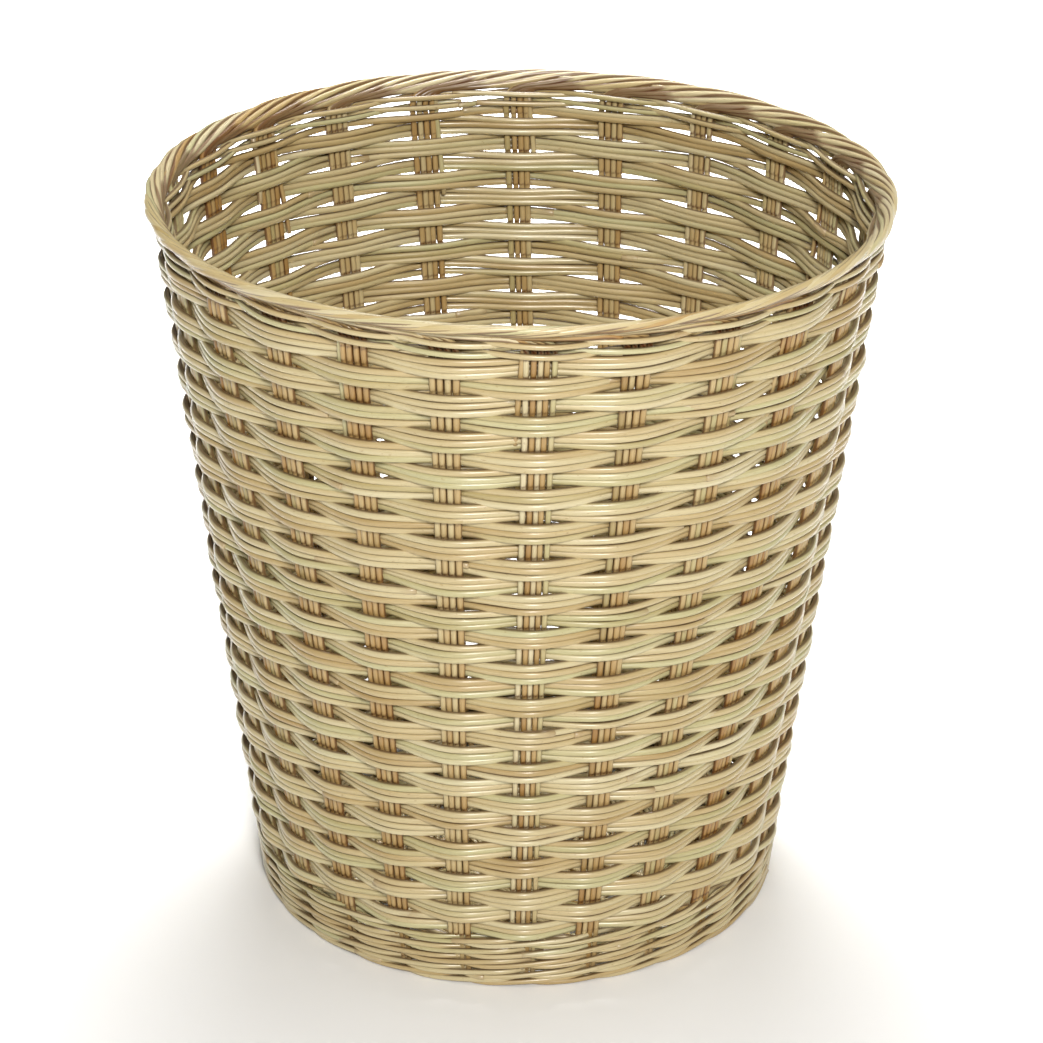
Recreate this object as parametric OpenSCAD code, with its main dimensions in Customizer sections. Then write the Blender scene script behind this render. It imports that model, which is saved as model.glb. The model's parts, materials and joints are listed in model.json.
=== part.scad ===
// Round tapering wastebasket, hand woven from thin round stems.
// Bundles of stems stand up as side stakes. A flat band of three stems goes round and round,
// outside one stake and inside the next. The stakes turn down at the top into a rolled border.
// Origin: centre of the circle that the foot stands on. +Z is up, -Y is the front.

/* [Basket] */
// Outer diameter over the rolled border
rim_d = 300; // [285:1:315]
// Outer diameter of the foot edge
foot_d = 219; // [205:1:230]
// Height from the floor to the top of the border
height = 306; // [290:1:320]

/* [Side stakes] */
// Diameter of one stem
stem_d = 2.6; // [2.2:0.1:2.8]
// Stems side by side in one stake
stems_per_stake = 4; // [3:1:4]
// Turn of all stakes from the front, at the foot, in degrees
turn_low = 3.5; // [0:0.5:8]
// Turn of all stakes from the front, at the border, in degrees
turn_high = 7; // [0:0.5:8]
// How far the stakes crowd towards the front at the foot, in degrees
crowd_low = 7.5; // [0:0.5:8]
// How far the stakes crowd towards the front at the border, in degrees
crowd_high = 5; // [0:0.5:8]
// Where the crowding is strongest at the foot, in degrees
crowd_at_low = 16; // [0:1:40]
// Where the crowding is strongest at the border, in degrees
crowd_at_high = 38; // [0:1:40]

/* [Side weave] */
// Thickness of the woven band
band_t = 2.2; // [1.8:0.1:2.3]
// Height where the side weave starts, above the foot wales
weave_z = 24; // [22:0.5:28]
// Height where the side weave ends, under the top pairing
weave_top_z = 291; // [280:0.5:291]

/* [Border] */
// Thickness of the rope that the turned-down stakes make
border_d = 8.2; // [7.8:0.1:8.6]
// Angle round the basket that one turned-down stake covers, in degrees
stroke_span = 42; // [38:1:46]

/* [Foot and base] */
// Height of the foot edge
foot_h = 3; // [2:0.5:4]
// Height of the middle of the base sticks above the floor
base_z = 6.15; // [6.1:0.05:8]
// Diameter of one base stick
stick_d = 2.8; // [2.4:0.1:2.8]
// Inner radius of the first woven round of the base
base_weave_r = 25.5; // [25:0.5:27]

/* [Hidden] */

// The count of stakes is odd, so one band going round always swaps sides over each stake.
stakes = 23;
last = (stakes - 1) / 2;
even_pitch = 360 / stakes;
turns_per_node = 2;
weave_nodes = 17;
turns = turns_per_node * weave_nodes;
turn_pitch = (weave_top_z - weave_z) / turns;
gap = 0.1;

// Border rope: the stakes wind round a circle of this centre.
border_r = border_d / 2;
border_mid_r = rim_d / 2 - border_r;
border_mid_z = height - border_r;
border_low_z = border_mid_z - border_r;
stroke_t = 2;
stroke_half_angle = 38;
stroke_steps = 12;

// Wall: the radius to the middle of the stakes, at the floor and at the full height.
wave_r = stem_d / 2 + band_t / 2 + 0.6;
wall_low_r = foot_d / 2 - 3.4;
wall_high_r = border_mid_r - 1.8;
stem_gap = 0.1;
stake_w = stems_per_stake * stem_d + (stems_per_stake - 1) * stem_gap;
stake_foot_z = foot_h + gap;
stake_top_z = border_low_z - 2 * gap;
flat_half_w = stake_w / 2 + 0.9;
seam_half_gap = 0.1;

// Twined rounds: one strand outside and one inside each stake, crossing between stakes.
twine_t = 2.3;
eyelet_play = 0.4;
wales = 4;
pairing_rounds = 2;
wale_h = (weave_z - foot_h) / wales;
foot_edge_w = 5.5;

// Base: two crossed groups of six sticks, fanned out to meet the stakes.
sticks_per_group = 6;
stick_pitch = stick_d + 0.2;
cross_lift = stick_pitch / 2;
arm_half = 18;
fan_r = 24.5;
stick_end_r = wall_low_r - 4.6;
binding_w = 3;
binding_low_r = 14.5;
base_rounds = 10;
rounds_per_node = 2;
round_pitch = (stick_end_r - 0.6 - base_weave_r) / base_rounds;
base_wave_z = stick_d / 2 + band_t / 2 + 0.1;

function mix(a, b, t) = a + (b - a) * t;
function is_odd(n) = abs(n) % 2 == 1;
function wall_r(z) = mix(wall_low_r, wall_high_r, z / height);
// Stakes are counted from -last to last, with stake 0 at the front and the seam at the back.
function stake_angle(k, z) =
    let (t = z / height, a = k * even_pitch)
    mix(turn_low, turn_high, t) - 90 + a
        - mix(crowd_low, crowd_high, t) * sin(a + mix(crowd_at_low, crowd_at_high, t));
function seam_angle(z) = (stake_angle(last, z) + stake_angle(last + 1, z)) / 2;
function polar(r, a) = [r * cos(a), r * sin(a)];
function at(r, a, z) = [r * cos(a), r * sin(a), z];
function degrees_along(w, r) = w / r * 180 / PI;
function clamp(v) = max(-1, min(1, v));

// A closed or open tube: rings of n points each, joined in order, with flat ends.
module loft(rings) {
    n = len(rings[0]);
    count = len(rings);
    sides = [
        for (i = [0:count - 2], j = [0:n - 1])
            let (a = i * n + j, b = i * n + (j + 1) % n)
            each [[a, b, a + n], [b, b + n, a + n]]
    ];
    ends = [
        [for (j = [n - 1:-1:0]) j],
        [for (j = [0:n - 1]) (count - 1) * n + j]
    ];
    polyhedron([for (r = rings) each r], concat(ends, sides), convexity = 6);
}

// Straight round stem from one point to another.
module stem(from, to, d) {
    v = to - from;
    h = norm(v);
    translate(from)
        rotate([0, acos(v.z / h), atan2(v.y, v.x)])
            cylinder(d = d, h = h, $fn = 24);
}

// The bundle of stems that stands in the wall.
module stake_stems(k) {
    for (i = [0:stems_per_stake - 1]) {
        off = (i - (stems_per_stake - 1) / 2) * (stem_d + stem_gap);
        low_r = wall_r(stake_foot_z);
        high_r = wall_r(stake_top_z);
        low_a = stake_angle(k, stake_foot_z) + degrees_along(off, low_r);
        high_a = stake_angle(k, stake_top_z) + degrees_along(off, high_r);
        stem(at(low_r, low_a, stake_foot_z), at(high_r, high_a, stake_top_z), stem_d);
    }
}

// The turned-down upper end of a stake: it rises inside the border, goes over the top and
// comes down outside, while it travels clockwise as seen from above.
module border_stroke(k) {
    from_a = stake_angle(k, height);
    outer_r = border_r;
    inner_r = border_r - stroke_t;
    loft([
        for (i = [0:stroke_steps])
            let (
                u = i / stroke_steps,
                a = from_a - stroke_span * u,
                mid = 225 - 270 * u,
                fan = [stroke_half_angle, 0, -stroke_half_angle]
            )
            concat(
                [for (f = fan) border_point(a, mid + f, outer_r)],
                [for (f = -fan) border_point(a, mid + f, inner_r)]
            )
    ]);
}
function border_point(a, around, r) =
    at(border_mid_r + r * cos(around), a, border_mid_z + r * sin(around));

module stake(k) {
    color("BurlyWood") {
        stake_stems(k);
        border_stroke(k);
    }
}

// Radius of the band's middle where it passes stake k: outside (+1) or inside (-1).
function band_side(turn, k) = is_odd(turn + k) ? 1 : -1;

// One turn of the band, from the seam round to the seam.
module band_turn(turn) {
    z = weave_z + turn_pitch * (turn - 0.5);
    r = wall_r(z);
    flat = degrees_along(flat_half_w, r);
    seam = seam_angle(z);
    path = concat(
        [[r, seam - 360 + seam_half_gap]],
        [
            for (k = [-last:last], f = [-flat, 0, flat])
                [r + wave_r * band_side(turn, k), stake_angle(k, z) + f]
        ],
        [[r, seam - seam_half_gap]]
    );
    outside = [for (p = path) polar(p[0] + band_t / 2, p[1])];
    inside = [for (i = [len(path) - 1:-1:0]) polar(path[i][0] - band_t / 2, path[i][1])];
    translate([0, 0, z - turn_pitch / 2])
        linear_extrude(turn_pitch - gap)
            polygon(concat(outside, inside));
}

// Two turns of the side weave, each a band of three stems.
module side_weave(n) {
    color(is_odd(n) ? "Khaki" : "DarkKhaki")
        for (i = [1:turns_per_node])
            band_turn((n - 1) * turns_per_node + i);
}

// A ring outline that bulges at the stakes and draws in between them.
function scalloped(r_stake, r_between, z) = [
    for (k = [-last:last])
        let (
            a = stake_angle(k, z),
            next = stake_angle(k + 1, z),
            flat = degrees_along(flat_half_w, r_stake)
        )
        each [polar(r_stake, a - flat), polar(r_stake, a + flat), polar(r_between, (a + next) / 2)]
];

// Strands twined in front of and behind every stake, crossing in the gaps.
module twined_round(low_z, h) {
    z = low_z + h / 2;
    r = wall_r(z);
    clear = stem_d / 2 + eyelet_play;
    translate([0, 0, low_z])
        linear_extrude(h - gap)
            difference() {
                polygon(scalloped(r + clear + twine_t, r + twine_t, z));
                polygon(scalloped(r - clear - twine_t, r - twine_t, z));
                for (k = [-last:last])
                    rotate(stake_angle(k, z))
                        translate([r, 0])
                            square([2 * clear, stake_w + 2 * eyelet_play], center = true);
            }
}

module foot_wale(n) {
    color("Tan") twined_round(foot_h + gap + wale_h * (n - 1), wale_h);
}

// Two rounds of twined strands between the side weave and the border.
module top_pairing() {
    round_h = (border_low_z - weave_top_z - gap) / pairing_rounds;
    color("Tan")
        for (i = [0:pairing_rounds - 1])
            twined_round(weave_top_z + round_h * i, round_h);
}

// The lowest round, which the basket stands on.
module foot_edge() {
    color("Peru")
        difference() {
            cylinder(d = foot_d, h = foot_h, $fn = 96);
            translate([0, 0, -1])
                cylinder(d = foot_d - 2 * foot_edge_w, h = foot_h + 2, $fn = 96);
        }
}

// A round rod through a list of points that run mostly along the x or the y axis.
module rod(points, d, along_x) {
    ring = [for (a = [0:60:300]) [d / 2 * cos(a), d / 2 * sin(a)]];
    loft([
        for (p = points)
            [for (c = ring) along_x ? p + [0, c.x, c.y] : p + [c.y, 0, c.x]]
    ]);
}
function fan_end(k) = let (a = stake_angle(k, 0)) [
    at(fan_r, a, base_z),
    at(stick_end_r, a, base_z)
];

// One base stick through the crossing: fanned out at each end, parallel to its group between.
module base_stick(from_k, to_k, place, lift, along_x) {
    off = (place - (sticks_per_group - 1) / 2) * stick_pitch;
    z = base_z + lift;
    low_arm = along_x ? [-arm_half, off, z] : [off, -arm_half, z];
    high_arm = along_x ? [arm_half, off, z] : [off, arm_half, z];
    low_end = fan_end(from_k);
    high_end = is_undef(to_k) ? [] : fan_end(to_k);
    rod(concat([low_end[1], low_end[0], low_arm, high_arm], high_end), stick_d, along_x);
}

// Six sticks from left to right, on top of the crossing.
module base_sticks_across() {
    color("Peru")
        for (i = [0:sticks_per_group - 1])
            base_stick(-4 - i, 3 + i, i, cross_lift, true);
}

// Six sticks from front to back, under the crossing. The last has its back end cut off, which
// leaves an odd number of ends, one for each side stake.
module base_sticks_along() {
    color("Peru")
        for (i = [0:sticks_per_group - 1])
            base_stick(i - 3, i < sticks_per_group - 1 ? 13 - i : undef, i, -cross_lift, false);
}

// A flat ring of the base whose height follows its angle.
module base_ring(r, w, angles, heights) {
    loft([
        for (i = [0:len(angles) - 1])
            let (a = angles[i], z = heights[i], t = band_t / 2)
            [at(r - w / 2, a, z - t), at(r + w / 2, a, z - t),
             at(r + w / 2, a, z + t), at(r - w / 2, a, z + t)]
    ]);
}

// Two rounds that lock the crossed sticks: one between the groups and one around them.
module base_binding() {
    angles = [for (a = [0:7.5:352.5]) a + 45];
    lock = [for (a = angles) clamp(3 * cos(2 * a))];
    between_z = cross_lift - base_wave_z;
    around_z = cross_lift + base_wave_z;
    outer_low_r = binding_low_r + binding_w + 1;
    color("Tan") {
        base_ring(binding_low_r + binding_w / 2, binding_w, angles,
            [for (v = lock) base_z + between_z * v]);
        base_ring(outer_low_r + binding_w / 2, binding_w, angles,
            [for (v = lock) base_z + around_z * v]);
    }
}

// One round of the base weave: over one stick and under the next.
module base_round(n) {
    r = base_weave_r + round_pitch * (n - 0.5);
    flat = min(degrees_along(stick_d / 2 + 0.6, r), even_pitch / 5);
    seam = seam_angle(0);
    points = concat(
        [[seam - 360 + seam_half_gap, 0]],
        [
            for (k = [-last:last], f = [-flat, flat])
                [stake_angle(k, 0) + f, base_wave_z * band_side(n, k)]
        ],
        [[seam - seam_half_gap, 0]]
    );
    base_ring(r, round_pitch - gap, [for (p = points) p[0]], [for (p = points) base_z + p[1]]);
}

module base_weave(n) {
    color(is_odd(n) ? "Khaki" : "DarkKhaki")
        for (i = [1:rounds_per_node])
            base_round((n - 1) * rounds_per_node + i);
}

stake(-11);  // stake_01
stake(-10);  // stake_02
stake(-9);  // stake_03
stake(-8);  // stake_04
stake(-7);  // stake_05
stake(-6);  // stake_06
stake(-5);  // stake_07
stake(-4);  // stake_08
stake(-3);  // stake_09
stake(-2);  // stake_10
stake(-1);  // stake_11
stake(0);  // stake_12
stake(1);  // stake_13
stake(2);  // stake_14
stake(3);  // stake_15
stake(4);  // stake_16
stake(5);  // stake_17
stake(6);  // stake_18
stake(7);  // stake_19
stake(8);  // stake_20
stake(9);  // stake_21
stake(10);  // stake_22
stake(11);  // stake_23
side_weave(1);  // side_weave_01
side_weave(2);  // side_weave_02
side_weave(3);  // side_weave_03
side_weave(4);  // side_weave_04
side_weave(5);  // side_weave_05
side_weave(6);  // side_weave_06
side_weave(7);  // side_weave_07
side_weave(8);  // side_weave_08
side_weave(9);  // side_weave_09
side_weave(10);  // side_weave_10
side_weave(11);  // side_weave_11
side_weave(12);  // side_weave_12
side_weave(13);  // side_weave_13
side_weave(14);  // side_weave_14
side_weave(15);  // side_weave_15
side_weave(16);  // side_weave_16
side_weave(17);  // side_weave_17
foot_wale(1);  // foot_wale_1
foot_wale(2);  // foot_wale_2
foot_wale(3);  // foot_wale_3
foot_wale(4);  // foot_wale_4
foot_edge();
top_pairing();
base_sticks_across();
base_sticks_along();
base_binding();
base_weave(1);  // base_weave_1
base_weave(2);  // base_weave_2
base_weave(3);  // base_weave_3
base_weave(4);  // base_weave_4
base_weave(5);  // base_weave_5
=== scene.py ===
import json
import math

import bpy
import numpy as np
from mathutils import Matrix, Vector


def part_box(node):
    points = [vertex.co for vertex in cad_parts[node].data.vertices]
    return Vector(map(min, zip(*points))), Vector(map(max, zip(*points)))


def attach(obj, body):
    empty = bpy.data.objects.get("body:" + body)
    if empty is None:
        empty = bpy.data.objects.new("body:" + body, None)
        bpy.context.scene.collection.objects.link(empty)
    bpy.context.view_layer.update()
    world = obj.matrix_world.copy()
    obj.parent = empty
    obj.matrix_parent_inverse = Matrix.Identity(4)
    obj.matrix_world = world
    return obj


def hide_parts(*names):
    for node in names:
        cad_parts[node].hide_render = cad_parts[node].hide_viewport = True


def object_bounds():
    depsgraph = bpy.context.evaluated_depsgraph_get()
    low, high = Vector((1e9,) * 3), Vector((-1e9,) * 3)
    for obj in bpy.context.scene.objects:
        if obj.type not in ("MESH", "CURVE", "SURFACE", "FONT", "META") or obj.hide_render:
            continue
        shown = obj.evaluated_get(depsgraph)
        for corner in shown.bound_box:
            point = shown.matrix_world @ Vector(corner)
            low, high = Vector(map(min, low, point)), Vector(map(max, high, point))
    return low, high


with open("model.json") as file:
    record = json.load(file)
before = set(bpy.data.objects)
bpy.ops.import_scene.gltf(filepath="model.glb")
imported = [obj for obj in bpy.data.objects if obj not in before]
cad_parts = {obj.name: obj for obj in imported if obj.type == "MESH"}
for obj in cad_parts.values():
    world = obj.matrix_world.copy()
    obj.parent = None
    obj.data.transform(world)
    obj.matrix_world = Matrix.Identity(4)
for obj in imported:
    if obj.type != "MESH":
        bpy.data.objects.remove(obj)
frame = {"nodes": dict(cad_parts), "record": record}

MM = 0.001
SEED = 11
CAD_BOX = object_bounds()

rng = np.random.default_rng(SEED)


# ---------------------------------------------------------------- what the frame says

def low_z(node):
    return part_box(node)[0].z / MM


def high_z(node):
    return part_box(node)[1].z / MM


def named(prefix):
    return sorted(name for name in frame["nodes"] if name.startswith(prefix))


def node_points(name):
    mesh = frame["nodes"][name].data
    points = np.empty(3 * len(mesh.vertices), np.float32)
    mesh.vertices.foreach_get("co", points)
    return points.reshape(-1, 3).astype(float) / MM


STAKES = named("stake_")
SIDE_WEAVES = named("side_weave_")
WALES = named("foot_wale_")
BASE_WEAVES = named("base_weave_")
COUNT = len(STAKES)

TURNS_PER_NODE = 2
TURNS = TURNS_PER_NODE * len(SIDE_WEAVES)
FOOT_EDGE_TOP = high_z("foot_edge")
WEAVE_LOW = low_z(SIDE_WEAVES[0])
WEAVE_HIGH = low_z("top_pairing")
PAIRING_TOP = high_z("top_pairing")
RIM_TOP = CAD_BOX[1].z / MM
RIM_RADIUS = min(CAD_BOX[1].x, -CAD_BOX[0].y) / MM
TURN_PITCH = (WEAVE_HIGH - WEAVE_LOW) / TURNS
WALE_PITCH = (WEAVE_LOW - FOOT_EDGE_TOP) / len(WALES)
BASE_Z = (low_z("base_sticks_along") + high_z("base_sticks_across")) / 2


def stake_end(name, z, reach):
    """Angle and radius of a stake's stems where they end, near height z."""
    points = node_points(name)
    centre = points[np.abs(points[:, 2] - z) < reach].mean(0)
    return math.degrees(math.atan2(centre[1], centre[0])), math.hypot(centre[0], centre[1])


def stake_table():
    """Angles and radii of all stakes at the foot and under the border, going round."""
    foot_z = low_z(STAKES[0]) + 0.2
    foot = np.array([stake_end(name, foot_z, 0.4) for name in STAKES])
    top = np.array([stake_end(name, PAIRING_TOP + 0.05, 0.22) for name in STAKES])
    return foot_z, np.unwrap(foot[:, 0], period=360), foot[:, 1], top


FOOT_Z, FOOT_ANGLES, FOOT_RADII, TOP_ENDS = stake_table()
TOP_ANGLES = FOOT_ANGLES + (TOP_ENDS[:, 0] - FOOT_ANGLES + 180) % 360 - 180
FOOT_WALL = FOOT_RADII.mean()
TOP_WALL = TOP_ENDS[:, 1].mean()


def up_share(z):
    return (np.asarray(z, float) - FOOT_Z) / (PAIRING_TOP - FOOT_Z)


def wall_radius(z):
    return FOOT_WALL + (TOP_WALL - FOOT_WALL) * up_share(z)


def stake_angle(n, z):
    """Angle of stake n at height z. n goes on counting past COUNT, one turn after another."""
    turn, m = np.divmod(np.asarray(n, int), COUNT)
    return FOOT_ANGLES[m] + (TOP_ANGLES[m] - FOOT_ANGLES[m]) * up_share(z) + 360 * turn


def angle_at(s, z):
    """Angle at s stakes round, where a whole number is the middle of a stake."""
    n = np.floor(s).astype(int)
    share = s - n
    return stake_angle(n, z) * (1 - share) + stake_angle(n + 1, z) * share


# ---------------------------------------------------------------- sizes of the looks

STEM_SIDES = 10
STEM_RADIUS = 1.18
WEAVER_RADIUS = 1.46
WEAVER_PITCH = 2.8
TWINE_RADIUS = 1.2
WEDGE = 7.0
STEPS_PER_STAKE = 14
WAVE = 2.68
BORDER_LONG = 5.3
BORDER_SHORT = 3.0
BORDER_REACH = math.hypot(BORDER_LONG, BORDER_SHORT) / math.sqrt(2)
BORDER_RADIUS = RIM_RADIUS - BORDER_REACH
BORDER_Z = RIM_TOP - BORDER_REACH
STROKE_SPAN = 42.0
TIP_LENGTH = 9.0


def smooth(x):
    x = np.clip(x, 0, 1)
    return x * x * (3 - 2 * x)


def cyl(radius, angle, z):
    """Points from cylinder coordinates."""
    a = np.radians(angle)
    radius, a, z = np.broadcast_arrays(radius, a, z)
    return np.stack([radius * np.cos(a), radius * np.sin(a), z], -1)


def wander(s, size, step):
    """A smooth random curve over s with about one bend per step."""
    s = np.asarray(s, float)
    knots = np.arange(math.floor(s[0] / step) - 1, math.ceil(s[-1] / step) + 3)
    values = rng.normal(0, size, len(knots))
    at = s / step - knots[0]
    i = np.floor(at).astype(int)
    share = smooth(at - i)
    return values[i] * (1 - share) + values[i + 1] * share


# ---------------------------------------------------------------- stems as tubes

class Bundle:
    """The stems that one mesh is made of."""

    def __init__(self):
        self.verts = []
        self.grain = []
        self.stem = []
        self.loops = []
        self.sizes = []
        self.count = 0

    def add(self, verts, grain, stem, quads, fans):
        self.verts.append(verts)
        self.grain.append(grain)
        self.stem.append(stem)
        self.loops.append(quads.reshape(-1) + self.count)
        self.sizes.append(np.full(len(quads), 4))
        self.loops.append(fans.reshape(-1) + self.count)
        self.sizes.append(np.full(len(fans), 3))
        self.count += len(verts)


bundles = {}


def bundle(node):
    return bundles.setdefault(node, Bundle())


def stem_look(tone=0.0, hue=0.0):
    """Random colour values of one stem: lightness, greenness, and where its grain is read."""
    odd = rng.random()
    if odd < 0.1:
        tone -= 0.26
    elif odd < 0.24:
        hue += 0.35
    return {
        "tone": float(np.clip(0.5 + tone + rng.normal(0, 0.14), 0, 1)),
        "hue": float(np.clip(0.5 + hue + rng.normal(0, 0.22), 0, 1)),
        "offset": rng.uniform(-4000, 4000, 3),
    }


def sweep(points, radius, normals, sides=STEM_SIDES):
    """Rings of points round a path. The first point of each ring is on the normal's side."""
    tangent = np.gradient(points, axis=0)
    tangent /= np.linalg.norm(tangent, axis=1)[:, None]
    across = np.cross(tangent, normals)
    across /= np.linalg.norm(across, axis=1)[:, None]
    out = np.cross(across, tangent)
    turn = 2 * np.pi * np.arange(sides) / sides
    ring = (
        np.cos(turn)[None, :, None] * out[:, None, :]
        + np.sin(turn)[None, :, None] * across[:, None, :]
    )
    return points[:, None, :] + radius[:, None, None] * ring, tangent, turn


def lay(cuts, points, radius, normals, look, behind=0.0, lift=0.0, sides=STEM_SIDES):
    """Adds one stem to the meshes. cuts lists (node, first point, last point) along the stem.

    The shade side is +1 where the stem's inner side is against something, and -1 where its outer side
    is; that side gets painted shade.
    lift makes it lighter; on the stakes it paints light on their part in the border rope.
    """
    points = np.asarray(points, float)
    radius = np.broadcast_to(np.asarray(radius, float), len(points)).copy()
    behind = np.broadcast_to(np.asarray(behind, float), len(points))
    tone = np.broadcast_to(np.clip(look["tone"] + lift, 0, 1), len(points))
    rings, tangent, turn = sweep(points, radius, normals, sides)
    length = np.concatenate([[0], np.cumsum(np.linalg.norm(np.diff(points, axis=0), axis=1))])
    tip = np.minimum(1, np.minimum(length, length[-1] - length) / TIP_LENGTH)
    rows = np.stack([length, tone, tip, behind], -1)
    for node, first, last in cuts:
        cut = slice(first, last + 1)
        add_tube(bundle(node), rings[cut], points[cut], tangent[cut], radius[cut], rows[cut],
                 turn, look, first == 0, last == len(points) - 1)


def add_tube(into, rings, middle, tangent, radius, rows, turn, look, at_start, at_end):
    """Adds one stretch of a stem, closed at both ends. A real end is slightly rounded."""
    sides = len(turn)
    blunt = 0.3
    layers = [rings]
    spine = [middle[0], middle[-1]]
    if at_start:
        small = middle[0] + (rings[0] - middle[0]) * 0.72 - tangent[0] * radius[0] * blunt
        layers.insert(0, small[None])
        spine[0] = middle[0] - tangent[0] * radius[0] * blunt * 1.25
        rows = np.concatenate([rows[:1], rows])
    if at_end:
        small = middle[-1] + (rings[-1] - middle[-1]) * 0.72 + tangent[-1] * radius[-1] * blunt
        layers.append(small[None])
        spine[1] = middle[-1] + tangent[-1] * radius[-1] * blunt * 1.25
        rows = np.concatenate([rows, rows[-1:]])
    body = np.concatenate(layers)
    n = len(body)
    rings = np.concatenate([body, body[:1], body[-1:]])
    rows = np.repeat(np.concatenate([rows, rows[:1], rows[-1:]]), sides, axis=0)
    verts = np.concatenate([rings.reshape(-1, 3), np.array(spine)])
    around = np.tile(turn, n + 2)
    size = radius.mean()
    grain = np.stack([size * np.cos(around), size * np.sin(around), rows[:, 0]], -1)
    grain += look["offset"]
    ends_grain = np.array([[0, 0, rows[0, 0]], [0, 0, rows[-1, 0]]]) + look["offset"]
    values = np.empty((len(verts), 4))
    values[:-2, 0] = rows[:, 1]
    values[:, 1] = look["hue"]
    values[:-2, 2] = rows[:, 2]
    values[-2:, [0, 2]] = rows[[0, -1], 1:3]
    # Fourth value: painted shade on the stem's two flanks, where it presses on its neighbours, and on
    # the side that lies against a stake or another stem.
    values[:-2, 3] = np.maximum(np.abs(np.sin(around)) ** 3, -rows[:, 3] * np.cos(around))
    values[-2:, 3] = 0.4
    i, j = np.meshgrid(np.arange(n - 1), np.arange(sides), indexing="ij")
    k = (j + 1) % sides
    quads = np.stack([i * sides + j, i * sides + k, (i + 1) * sides + k, (i + 1) * sides + j], -1)
    j = np.arange(sides)
    k = (j + 1) % sides
    low = 0 if at_start else n * sides
    high = (n - 1) * sides if at_end else (n + 1) * sides
    centre = len(verts) - 2
    fans = np.concatenate([
        np.stack([low + k, low + j, np.full(sides, centre)], -1),
        np.stack([high + j, high + k, np.full(sides, centre + 1)], -1),
    ])
    into.add(verts, np.concatenate([grain, ends_grain]), values, quads.reshape(-1, 4), fans)


def radial(points):
    """Outward directions at the points."""
    flat = np.asarray(points, float) * [1, 1, 0]
    return flat / np.linalg.norm(flat, axis=1)[:, None]


# ---------------------------------------------------------------- the side weave

def band_wave(s):
    """Outside (+1) at the odd stakes and inside (-1) at the even ones, straight in between."""
    steep, sharp = 1.3, 6
    zigzag = steep * (1 - 2 * np.abs((s + 1) % 2 - 1))
    limit = steep / (1 + steep**sharp) ** (1 / sharp)
    return -zigzag / (1 + np.abs(zigzag) ** sharp) ** (1 / sharp) / limit


def slot_joints(first, last):
    """Where the strands of one slot end and begin, along the slot."""
    joints = [first]
    at = first + rng.uniform(5, 21)
    while at < last - 6:
        joints.append(at)
        at += rng.uniform(15, 25)
    return joints + [last]


def side_cuts(s):
    """Shares the points of a strand out among the side weave's nodes."""
    stakes_per_node = TURNS_PER_NODE * COUNT
    node = np.clip(np.floor((s + 0.5) / stakes_per_node).astype(int), 0, len(SIDE_WEAVES) - 1)
    cuts = []
    first = 0
    for i in range(1, len(s)):
        if node[i] != node[first]:
            cuts.append((SIDE_WEAVES[node[first]], first, i))
            first = i
    if first < len(s) - 1:
        cuts.append((SIDE_WEAVES[node[first]], first, len(s) - 1))
    return cuts


def side_strand(slot, first, last, level, depth):
    """One strand of the band. Its two ends dip in or out where the next strand takes over."""
    lap_in, lap_out = rng.uniform(0.04, 0.3, 2)
    start, end = first - lap_in, last + lap_out
    s = np.linspace(start, end, max(8, int((end - start) * STEPS_PER_STAKE)))
    squeeze = 0.96 + 0.07 * band_wave(s)
    z = WEAVE_LOW + TURN_PITCH * (s + 0.5) / COUNT + WEAVER_PITCH * slot * squeeze
    z += np.interp(s, *level)
    z = np.clip(z, WEAVE_LOW + WEAVER_RADIUS, WEAVE_HIGH - WEAVER_RADIUS) + wander(s, 0.14, 0.9)
    size = rng.normal(WEAVER_RADIUS, 0.06)
    thick = size * (1 + 0.05 * np.sin(np.pi * (s - start) / (end - start)))
    thick -= 0.12 * smooth((s - end + 3) / 3) * rng.uniform(0, 1)
    wave = band_wave(s) * (WAVE + np.abs(wander(s, 0.22, 1.0)))
    dip = rng.choice([-1, 1], 2, p=[0.7, 0.3]) * rng.uniform(0.5, 1.3, 2)
    tail = dip[0] * smooth(1 - (s - start) / 0.5) * 0.6 + dip[1] * smooth(1 - (end - s) / 0.6)
    radius = wall_radius(z) + wave + tail + np.interp(s, *depth)
    points = cyl(radius, angle_at(s, z), z)
    # The last argument paints shade on the side of the strand that lies against a stake.
    lay(side_cuts(s), points, thick, radial(points), stem_look(), band_wave(s) ** 5)


def random_line(first, last, size, step):
    """Random values along the band, for np.interp."""
    at = np.arange(first - 1, last + 2, step)
    return at, rng.normal(0, size, len(at))


def build_side_weave():
    whole = (-0.5, COUNT * TURNS - 0.5)
    room = WEAVER_PITCH + WEAVER_RADIUS
    late = COUNT * room / TURN_PITCH
    early = COUNT * WEAVER_RADIUS / TURN_PITCH
    spans = {
        -1: (whole[0] + late - early, whole[1] + WEDGE),
        0: (whole[0] + 0.2, whole[1] - 0.2),
        1: (whole[0] - WEDGE, whole[1] - late + early),
    }
    whole = (whole[0] - WEDGE, whole[1] + WEDGE)
    shared_level = random_line(*whole, 0.2, 1.0)
    shared_depth = random_line(*whole, 0.14, 1.0)
    for slot, (first, last) in spans.items():
        own_level = random_line(*whole, 0.13, 1.0)
        own_depth = random_line(*whole, 0.2, 1.0)
        level = (own_level[0], own_level[1] + shared_level[1])
        depth = (own_depth[0], own_depth[1] + shared_depth[1])
        joints = slot_joints(first, last)
        for a, b in zip(joints[:-1], joints[1:]):
            side_strand(slot, a, b, level, depth)


# ---------------------------------------------------------------- twined rounds

def round_points(s, z, radius):
    return cyl(radius, angle_at(s, z), z)


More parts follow.
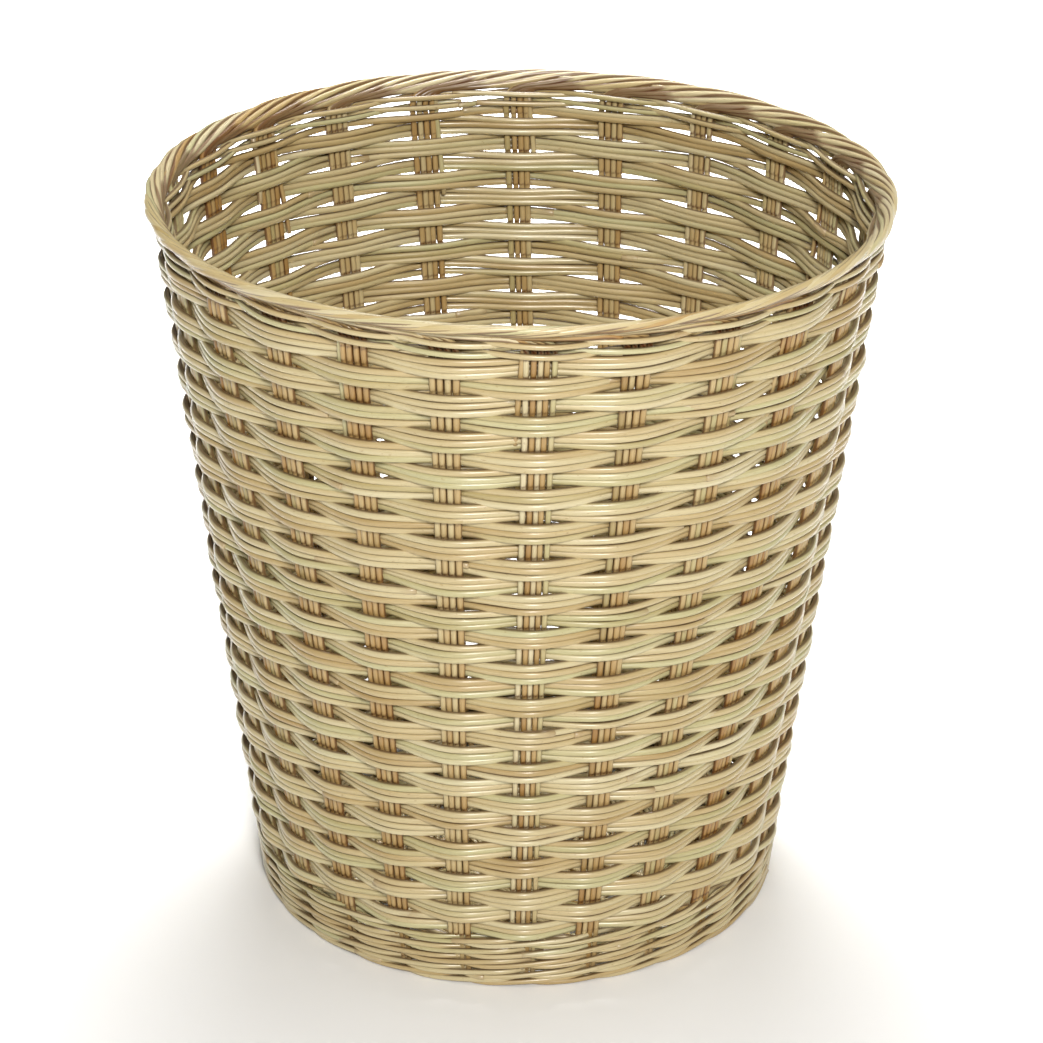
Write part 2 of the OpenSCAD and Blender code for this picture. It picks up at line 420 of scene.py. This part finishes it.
def pairing_round(node, z_middle, shift):
    """Two strands that take turns in front of the stakes."""
    for strand in range(2):
        first = -0.5 + rng.uniform(-0.3, 0.1)
        last = COUNT - 0.5 + rng.uniform(-0.1, 0.3)
        joint = rng.uniform(7, 15) + shift
        for a, b in ((first, joint + 0.15), (joint - 0.15, last)):
            s = np.linspace(a, b, int((b - a) * STEPS_PER_STAKE))
            phase = np.pi * (s + strand)
            wave = -np.cos(phase) * (WAVE + 0.1)
            z = z_middle + 0.45 * np.sin(phase) + wander(s, 0.14, 1.0)
            tail = -0.9 * smooth(1 - (b - s) / 0.4)
            points = round_points(s, z, wall_radius(z) + wave + tail)
            # The last argument paints shade on the side of the strand that lies against a stake.
            lay([(node, 0, len(s) - 1)], points, rng.normal(TWINE_RADIUS, 0.04),
                radial(points), stem_look(0.06), (wave / WAVE) ** 3)


def wale_round(node, z_middle, rise, turn, tone):
    """Three strands, each in front of two stakes and behind the next."""
    for strand in range(3):
        first = -0.5 + rng.uniform(-0.4, 0.2)
        last = COUNT - 0.5 + rng.uniform(-0.1, 0.4)
        joints = [first, *sorted(rng.uniform(4, COUNT - 4, 2)), last]
        for a, b in zip(joints[:-1], joints[1:]):
            s = np.linspace(a - 0.25, b + 0.25, max(8, int((b - a) * STEPS_PER_STAKE)))
            phase = s - strand - turn + 0.5
            inward = (phase + 1.5) % 3 - 1.5
            fall = np.where(np.abs(inward) < 1, np.cos(np.pi * inward / 2) ** 2, 0)
            wave = (WAVE - 0.1) * (1 - 2 * fall)
            z = z_middle - rise * np.sin(2 * np.pi * phase / 3) + wander(s, 0.14, 1.2)
            tail = rng.choice([-0.9, 0.7]) * smooth(1 - (s[-1] - s) / 0.5)
            points = round_points(s, z, wall_radius(np.maximum(z, 0)) + wave + tail)
            points[:, 2] = np.maximum(points[:, 2], TWINE_RADIUS + 0.17)
            # The last argument paints shade on the side of the strand that lies against a stake.
            lay([(node, 0, len(s) - 1)], points, rng.normal(TWINE_RADIUS, 0.05),
                radial(points), stem_look(tone, -0.05), (wave / WAVE) ** 3)


def build_twined_rounds():
    for i, node in enumerate(WALES):
        wale_round(node, FOOT_EDGE_TOP + WALE_PITCH * (i + 0.5), 1.35, 2 * i, 0)
    wale_round("foot_edge", FOOT_EDGE_TOP - TWINE_RADIUS + 0.2, 1.0, -2, -0.05)
    for i, height in enumerate((1.6, 5.7)):
        pairing_round("top_pairing", WEAVE_HIGH + height, 4 * i)


# ---------------------------------------------------------------- stakes and border

def border_point(angle, around, depth):
    """Point at a depth in the border rope: around is 0 outside, 90 on top and 180 inside.

    The rope is oval. Its long way points up and outwards.
    """
    a = np.radians(around - 45)
    up_out = (BORDER_LONG - depth) * np.cos(a) / math.sqrt(2)
    up_in = (BORDER_SHORT - depth) * np.sin(a) / math.sqrt(2)
    return cyl(BORDER_RADIUS + up_out - up_in, angle, BORDER_Z + up_out + up_in)


def rounded_path(points, steps):
    """A smooth curve through the points, as a Catmull-Rom spline with even spacing."""
    points = np.asarray(points, float)
    padded = np.concatenate([[2 * points[0] - points[1]], points, [2 * points[-1] - points[-2]]])
    out = []
    for i in range(len(points) - 1):
        p0, p1, p2, p3 = padded[i:i + 4]
        t = np.linspace(0, 1, steps, endpoint=False)[:, None]
        out.append(0.5 * (2 * p1 + (p2 - p0) * t + (2 * p0 - 5 * p1 + 4 * p2 - p3) * t**2
                          + (3 * p1 - p0 - 3 * p2 + p3) * t**3))
    out.append(points[-1:])
    return np.concatenate(out)


def stake_stem(node, k, place, stems, radius, stroke_lift, look):
    """One stem of a stake: up through the wall, then round the border and down outside."""
    row = np.arange(FOOT_Z - 0.2, BORDER_Z - BORDER_REACH + 0.5, 1.5)
    size = radius * (1.0 + 0.14 * smooth(row / WEAVE_HIGH))
    spread = 0.98 + 0.08 * smooth((row - WEAVE_HIGH + 40) / 40)
    side = place * 2 * size * spread + wander(row, 0.12, 55)
    angle = stake_angle(k, row) + np.degrees(side / wall_radius(row))
    free = np.cos(np.pi * ((row - WEAVE_LOW) / TURN_PITCH - (k + 0.5) / COUNT + k))
    wall = cyl(wall_radius(row) + wander(row, 0.12, 40) + 0.2 * free, angle, row)
    # Painted shade on one side of the stem near the edges of the bands that cross it.
    shade = -np.sign(free) * smooth((0.8 - np.abs(free)) / 0.6)

    share = place / ((stems - 1) / 2)
    u = np.linspace(0.04, 1.0 + 0.03 * share + rng.uniform(-0.04, 0.05), 44)
    lens = np.sin(np.pi * np.clip(u, 0, 1))
    fan = (8 + 25 * lens) * 4 / stems * place
    around = 232 - fan - 284 * u ** 1.3 + wander(u, 3.5, 0.3)
    tuck = 2.0 * smooth((u - 0.6) / 0.4) + 0.3 * smooth((0.3 - u) / 0.3)
    under = 1.1 * max(0.0, -share - 0.3) - stroke_lift
    thin = radius * (1.25 - 0.16 * u)
    over = border_point(angle[-1] - STROKE_SPAN * u, around, thin + tuck + under)
    path = relaxed(np.concatenate([wall, over]), len(wall) - 4, len(wall) + 4)
    thick = np.concatenate([size, thin])
    # Painted shade on the outer side above the weave, and at the start of the stroke over the border.
    shade[row > WEAVE_HIGH] = -1
    behind = np.concatenate([shade, -smooth((0.34 - u) / 0.1)])
    # Painted light: the stem is lifted lighter in the border rope, where it lies in the light, than
    # in the shaded wall.
    lift = np.concatenate([np.zeros(len(row)), 0.3 * smooth(u / 0.25)])
    lay([(node, 0, len(path) - 1)], path, thick, stem_normals(path), look, behind, lift)


def short_stem(node, k, stems, radius, side):
    """An added stem beside a stake, cut off inside partway down the wall."""
    low = rng.uniform(WEAVE_HIGH - 60, WEAVE_HIGH - 18)
    row = np.arange(low, WEAVE_HIGH + 6, 2.5)
    fall = (row - low) / (row[-1] - low)
    away = (stems / 2 + 0.42) * 2 * radius + 1.5 * smooth(1 - fall) + wander(row, 0.25, 20)
    depth = 0.3 + 0.9 * smooth(1 - fall) + wander(row, 0.2, 20)
    path = cyl(wall_radius(row) - depth,
               stake_angle(k, row) + side * np.degrees(away / wall_radius(row)), row)
    thick = radius * (0.85 + 0.15 * smooth(fall * 3))
    lay([(node, 0, len(path) - 1)], path, thick, radial(path), stem_look(0.05))


def relaxed(path, first, last, rounds=4):
    """Evens out the bend between two points of a path."""
    path = path.copy()
    for _ in range(rounds):
        middle = (path[first - 1:last - 1] + path[first + 1:last + 1]) / 2
        path[first:last] = 0.5 * path[first:last] + 0.5 * middle
    return path


def stem_normals(path):
    """Outward directions: from the wall's axis low down, and out of the rope in the border."""
    out = radial(path)
    ring = np.hypot(path[:, 0], path[:, 1])
    rope = out * (ring - BORDER_RADIUS)[:, None]
    rope[:, 2] = path[:, 2] - BORDER_Z
    rope /= np.maximum(np.linalg.norm(rope, axis=1), 0.5)[:, None]
    share = smooth((path[:, 2] - BORDER_Z + 9) / 6)[:, None]
    inner = -out
    base = out * (1 - share) + rope * share
    lost = np.linalg.norm(base, axis=1) < 0.3
    base[lost] = inner[lost]
    return base / np.linalg.norm(base, axis=1)[:, None]


def build_stakes():
    for k, node in enumerate(STAKES):
        stems = 5 if rng.random() < 0.35 else 4
        stroke_lift = rng.uniform(-0.3, 0.3)
        stroke_tone = rng.normal(0, 0.1)
        for i in range(stems):
            place = i - (stems - 1) / 2
            radius = rng.normal(STEM_RADIUS * (4.0 / stems) ** 0.4, 0.04)
            look = stem_look(-0.04 + stroke_tone, -0.12)
            stake_stem(node, k, place, stems, radius, stroke_lift, look)
        for side in (-1, 1):
            if rng.random() < 0.25:
                short_stem(node, k, stems, STEM_RADIUS, side)


# ---------------------------------------------------------------- the base

def base_stick(node, from_k, to_k, place, lift, along_x):
    pitch = 3.0
    off = (place - 2.5) * pitch
    arm, fan, end = 18.0, 24.5, FOOT_WALL - 4.7
    low = (-arm, off, BASE_Z + lift) if along_x else (off, -arm, BASE_Z + lift)
    high = (arm, off, BASE_Z + lift) if along_x else (off, arm, BASE_Z + lift)
    points = []
    for radius in (end, (end + fan) / 2, fan):
        points.append(cyl(radius, stake_angle(from_k, 0.0), BASE_Z))
    points += [np.array(low), (np.array(low) + np.array(high)) / 2, np.array(high)]
    if to_k is not None:
        for radius in (fan, (end + fan) / 2, end):
            points.append(cyl(radius, stake_angle(to_k, 0.0), BASE_Z))
    path = rounded_path(points, 9)
    normals = np.tile([0.0, 0.0, 1.0], (len(path), 1))
    lay([(node, 0, len(path) - 1)], path, 1.35, normals, stem_look(-0.05, -0.1))


def build_base():
    middle = COUNT // 2
    lift = 1.5
    for i in range(6):
        base_stick("base_sticks_across", middle - 4 - i, middle + 3 + i, i, lift, True)
        back = middle + 13 - i if i < 5 else None
        base_stick("base_sticks_along", middle + i - 3, back, i, -lift, False)
    build_binding()
    first, last = 25.5, FOOT_WALL - 4.7
    rounds = TURNS_PER_NODE * len(BASE_WEAVES)
    pitch = (last - first) / rounds
    for turn in range(rounds):
        node = BASE_WEAVES[turn // TURNS_PER_NODE]
        strands = 3
        for strand in range(strands):
            s = np.linspace(-0.6, COUNT - 0.4, COUNT * 9)
            radius = first + pitch * (turn + 0.5 + (strand - 1) * 0.31)
            radius = radius + wander(s, 0.12, 1.0)
            side = -band_wave(s + turn) * 2.55
            points = cyl(radius, angle_at(s, 0.0), BASE_Z + side)
            normals = np.tile([0.0, 0.0, 1.0], (len(s), 1))
            lay([(node, 0, len(s) - 1)], points, rng.normal(1.15, 0.04), normals, stem_look(),
                sides=8)


def build_binding():
    """Two stems that lock the crossing, between the two groups of sticks and round them."""
    for radius, height in ((15.2, -1.1), (17.0, -1.1), (19.3, 4.2), (21.2, 4.2)):
        angle = np.linspace(45, 405, 90)
        lock = np.clip(3 * np.cos(2 * np.radians(angle)), -1, 1)
        points = cyl(radius, angle, BASE_Z + height * lock)
        normals = np.tile([0.0, 0.0, 1.0], (len(angle), 1))
        lay([("base_binding", 0, len(angle) - 1)], points, 0.9, normals, stem_look(-0.05), sides=8)


# ---------------------------------------------------------------- materials

def colour(r, g, b):
    """A linear colour from sRGB numbers of 0 to 255."""
    return tuple(((c / 255 + 0.055) / 1.055) ** 2.4 for c in (r, g, b)) + (1.0,)


class Nodes:
    """Short names for making shader nodes and their links."""

    def __init__(self, name):
        self.material = bpy.data.materials.new(name)
        self.material.use_nodes = True
        self.tree = self.material.node_tree
        self.tree.nodes.clear()

    def add(self, kind, **settings):
        node = self.tree.nodes.new(kind)
        for key, value in settings.items():
            setattr(node, key, value)
        return node

    def link(self, source, target):
        self.tree.links.new(source, target)

    def attribute(self, name):
        return self.add("ShaderNodeAttribute", attribute_name=name)

    def maths(self, operation, a, b, clamp=False):
        node = self.add("ShaderNodeMath", operation=operation, use_clamp=clamp)
        for socket, value in zip(node.inputs, (a, b)):
            if isinstance(value, (int, float)):
                socket.default_value = value
            else:
                self.link(value, socket)
        return node.outputs[0]

    def ramp(self, source, stops):
        node = self.add("ShaderNodeValToRGB")
        elements = node.color_ramp.elements
        while len(elements) < len(stops):
            elements.new(0.5)
        for element, (at, value) in zip(elements, stops):
            element.position = at
            element.color = value
        self.link(source, node.inputs[0])
        return node.outputs[0]

    def mix(self, share, a, b, blend="MIX"):
        node = self.add("ShaderNodeMix", data_type="RGBA", blend_type=blend)
        for socket, value in ((node.inputs[0], share), (node.inputs[6], a), (node.inputs[7], b)):
            if isinstance(value, (int, float, tuple)):
                socket.default_value = value
            else:
                self.link(value, socket)
        return node.outputs[2]

    def noise(self, vector, scale, detail=3.0, roughness=0.5):
        node = self.add("ShaderNodeTexNoise")
        node.inputs["Scale"].default_value = scale
        node.inputs["Detail"].default_value = detail
        node.inputs["Roughness"].default_value = roughness
        self.link(vector, node.inputs["Vector"])
        return node.outputs[0]

    def stretched(self, vector, x, y, z):
        node = self.add("ShaderNodeVectorMath", operation="MULTIPLY")
        self.link(vector, node.inputs[0])
        node.inputs[1].default_value = (x, y, z)
        return node.outputs[0]


def stem_material(name, warm, painted_shade_colour):
    """Peeled natural stem: pale straw to tan, streaks along the fibres, a satin skin, and painted
    shade in the creases and on hidden sides.
    """
    m = Nodes(name)
    grain = m.attribute("grain").outputs["Vector"]
    values = m.add("ShaderNodeSeparateColor")
    stem = m.attribute("stem")
    m.link(stem.outputs["Color"], values.inputs[0])
    tone, hue, tip = values.outputs
    crease = stem.outputs["Alpha"]

    pale, straw, tan, umber = warm
    drift = m.noise(m.stretched(grain, 0.02, 0.02, 0.018), 1.0, 2.0)
    shade = m.maths("ADD", tone, m.maths("MULTIPLY", m.maths("SUBTRACT", drift, 0.5), 0.8), True)
    base = m.ramp(shade, [(0.0, umber), (0.3, tan), (0.62, straw), (1.0, pale)])

    green_drift = m.noise(m.stretched(grain, 0.01, 0.01, 0.012), 1.0, 1.0)
    green_value = m.maths("ADD", hue, m.maths("MULTIPLY", m.maths("SUBTRACT", green_drift, 0.5), 0.9))
    greenness = m.ramp(green_value, [(0.66, (0, 0, 0, 1)), (0.95, (0.5, 0.5, 0.5, 1))])
    base = m.mix(greenness, base, colour(187, 188, 138))

    streak = m.noise(m.stretched(grain, 2.6, 2.6, 0.05), 1.0, 4.0, 0.6)
    streaks = m.ramp(streak, [(0.25, (0.80, 0.76, 0.68, 1)), (0.55, (1, 1, 1, 1)),
                              (0.8, (1.0, 0.98, 0.94, 1))])
    base = m.mix(0.85, base, streaks, "MULTIPLY")

    fleck = m.noise(m.stretched(grain, 1.4, 1.4, 0.5), 1.0, 2.0, 0.5)
    flecks = m.ramp(fleck, [(0.66, (0, 0, 0, 1)), (0.74, (0.5, 0.5, 0.5, 1))])
    base = m.mix(flecks, base, colour(158, 124, 80))

    # Painted shade: the crease value multiplies the colour by a dark brown.
    painted_shade_share = m.ramp(crease, [(0.45, (0, 0, 0, 1)), (1.0, (1, 1, 1, 1))])
    base = m.mix(painted_shade_share, base, painted_shade_colour, "MULTIPLY")

    worn = m.ramp(tip, [(0.0, (0.62, 0.62, 0.62, 1)), (0.8, (0, 0, 0, 1))])
    base = m.mix(worn, base, colour(176, 150, 112))

    rough_noise = m.noise(m.stretched(grain, 0.8, 0.8, 0.1), 1.0, 2.0)
    roughness = m.maths("ADD", m.maths("MULTIPLY", rough_noise, 0.22), 0.24)

    fibre = m.noise(m.stretched(grain, 5.0, 5.0, 0.12), 1.0, 3.0, 0.6)
    bump = m.add("ShaderNodeBump")
    bump.inputs["Strength"].default_value = 0.28
    bump.inputs["Distance"].default_value = 0.12 * MM
    m.link(fibre, bump.inputs["Height"])

    shader = m.add("ShaderNodeBsdfPrincipled")
    shader.inputs["Specular IOR Level"].default_value = 0.55
    shader.inputs["Coat Weight"].default_value = 0.4
    shader.inputs["Coat Roughness"].default_value = 0.2
    m.link(base, shader.inputs["Base Color"])
    m.link(roughness, shader.inputs["Roughness"])
    m.link(bump.outputs[0], shader.inputs["Normal"])
    output = m.add("ShaderNodeOutputMaterial")
    m.link(shader.outputs[0], output.inputs[0])
    return m.material


def make_materials():
    weaver = (colour(220, 209, 172), colour(208, 193, 150), colour(196, 174, 126),
              colour(178, 150, 98))
    # The stake tones are partly the stems' own colour and partly painted shade: darker and more
    # orange, for the shade the stakes lie in between the bands.
    stake = (colour(220, 207, 169), colour(203, 184, 136), colour(188, 156, 101),
             colour(164, 123, 66))
    # The third colour of each material is its painted shade for the creases and hidden sides.
    return {
        "weaver_stems": stem_material("weaver_stems", weaver, colour(102, 60, 24)),
        "twined_stems": stem_material("twined_stems", weaver, colour(102, 60, 24)),
        "stake_stems": stem_material("stake_stems", stake, colour(116, 62, 20)),
        "base_sticks": stem_material("base_sticks", stake, colour(150, 108, 62)),
    }


# ---------------------------------------------------------------- meshes

def slot_of(node):
    for entry in frame["record"]["subparts"]:
        if entry["node"] == node:
            return entry["material_slot"]
    raise ValueError(node)


def make_mesh(node, stems, material):
    verts = np.concatenate(stems.verts) * MM
    loops = np.concatenate(stems.loops).astype(np.int32)
    sizes = np.concatenate(stems.sizes)
    starts = np.concatenate([[0], np.cumsum(sizes)[:-1]]).astype(np.int32)
    mesh = bpy.data.meshes.new(node + "_stems")
    mesh.vertices.add(len(verts))
    mesh.vertices.foreach_set("co", verts.astype(np.float32).ravel())
    mesh.loops.add(len(loops))
    mesh.loops.foreach_set("vertex_index", loops)
    mesh.polygons.add(len(starts))
    mesh.polygons.foreach_set("loop_start", starts)
    mesh.polygons.foreach_set("use_smooth", np.ones(len(starts), bool))
    mesh.update(calc_edges=True)
    grain = mesh.attributes.new("grain", "FLOAT_VECTOR", "POINT")
    grain.data.foreach_set("vector", np.concatenate(stems.grain).astype(np.float32).ravel())
    values = mesh.attributes.new("stem", "FLOAT_COLOR", "POINT")
    values.data.foreach_set("color", np.concatenate(stems.stem).astype(np.float32).ravel())
    mesh.materials.append(material)
    piece = bpy.data.objects.new(node + "_stems", mesh)
    bpy.context.scene.collection.objects.link(piece)
    return piece


def make_pieces():
    materials = make_materials()
    for node, stems in bundles.items():
        slot = slot_of(node)
        piece = make_mesh(node, stems, materials[slot])
        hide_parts(node)
        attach(piece, "root")


# ---------------------------------------------------------------- stage, light and camera

def floor_material(name):
    """A white table that glows where it is too far from the lamps to look white."""
    m = Nodes(name)
    place = m.add("ShaderNodeNewGeometry").outputs["Position"]
    speck = m.noise(place, 40.0, 2.0)
    base = m.mix(m.maths("MULTIPLY", speck, 0.05), colour(254, 254, 254), colour(235, 235, 235))
    reach = m.add("ShaderNodeVectorMath", operation="LENGTH")
    m.link(place, reach.inputs[0])
    half_reach = m.maths("MULTIPLY", reach.outputs["Value"], 0.5)
    glow = m.ramp(half_reach, [(0.5, (0, 0, 0, 1)), (0.85, (1, 1, 1, 1))])
    shader = m.add("ShaderNodeBsdfPrincipled")
    shader.inputs["Emission Strength"].default_value = 0.8
    m.link(glow, shader.inputs["Emission Color"])
    shader.inputs["Roughness"].default_value = 0.9
    shader.inputs["Specular IOR Level"].default_value = 0.1
    m.link(base, shader.inputs["Base Color"])
    output = m.add("ShaderNodeOutputMaterial")
    m.link(shader.outputs[0], output.inputs[0])
    return m.material


def build_stage():
    mesh = bpy.data.meshes.new("floor")
    reach = 60.0
    corners = [(-reach, -reach, 0), (reach, -reach, 0), (reach, reach, 0), (-reach, reach, 0)]
    mesh.from_pydata(corners, [], [(0, 1, 2, 3)])
    mesh.materials.append(floor_material("floor"))
    floor = bpy.data.objects.new("floor", mesh)
    bpy.context.scene.collection.objects.link(floor)


def area_light(name, place, target, size, watts, tint=(1, 1, 1), spread=180):
    data = bpy.data.lights.new(name, "AREA")
    data.spread = math.radians(spread)
    data.shape = "DISK"
    data.size = size
    data.energy = watts
    data.color = tint
    light = bpy.data.objects.new(name, data)
    light.location = place
    direction = Vector(target) - Vector(place)
    light.rotation_euler = direction.to_track_quat("-Z", "Y").to_euler()
    bpy.context.scene.collection.objects.link(light)


def build_lights():
    centre = (0, 0, 0.17)
    area_light("key", (0.25, -2.3, 1.7), centre, 0.5, 58, (1.0, 0.98, 0.94))
    area_light("top", (0.1, 0.0, 2.4), centre, 1.4, 18)
    area_light("back", (0.0, 1.4, 2.2), (0.0, 1.4, 0.0), 1.2, 50, spread=70)
    world = bpy.data.worlds.new("studio")
    world.use_nodes = True
    background = world.node_tree.nodes["Background"]
    background.inputs[0].default_value = (1.0, 1.0, 1.0, 1.0)
    background.inputs[1].default_value = 0.12
    bpy.context.scene.world = world
    bpy.context.scene.view_settings.view_transform = "Standard"


def build_camera():
    """The photographer's place: in front, above the rim, turned down and slightly rolled."""
    distance, side, height = 1324.8, 1.3, 789.3
    pitch, roll = 25.49, 0.41
    focal_over_frame = 3529.2 / 1043
    data = bpy.data.cameras.new("camera")
    data.sensor_width = 36.0
    data.lens = data.sensor_width * focal_over_frame
    data.clip_start = 0.05
    data.clip_end = 20.0
    camera = bpy.data.objects.new("camera", data)
    turned = Matrix.Rotation(math.radians(90 - pitch), 4, "X")
    turned = turned @ Matrix.Rotation(math.radians(roll), 4, "Z")
    camera.matrix_world = Matrix.Translation(Vector((side, -distance, height)) * MM) @ turned
    bpy.context.scene.collection.objects.link(camera)
    bpy.context.scene.camera = camera


build_side_weave()
build_twined_rounds()
build_stakes()
build_base()
make_pieces()
build_stage()
build_lights()
build_camera()
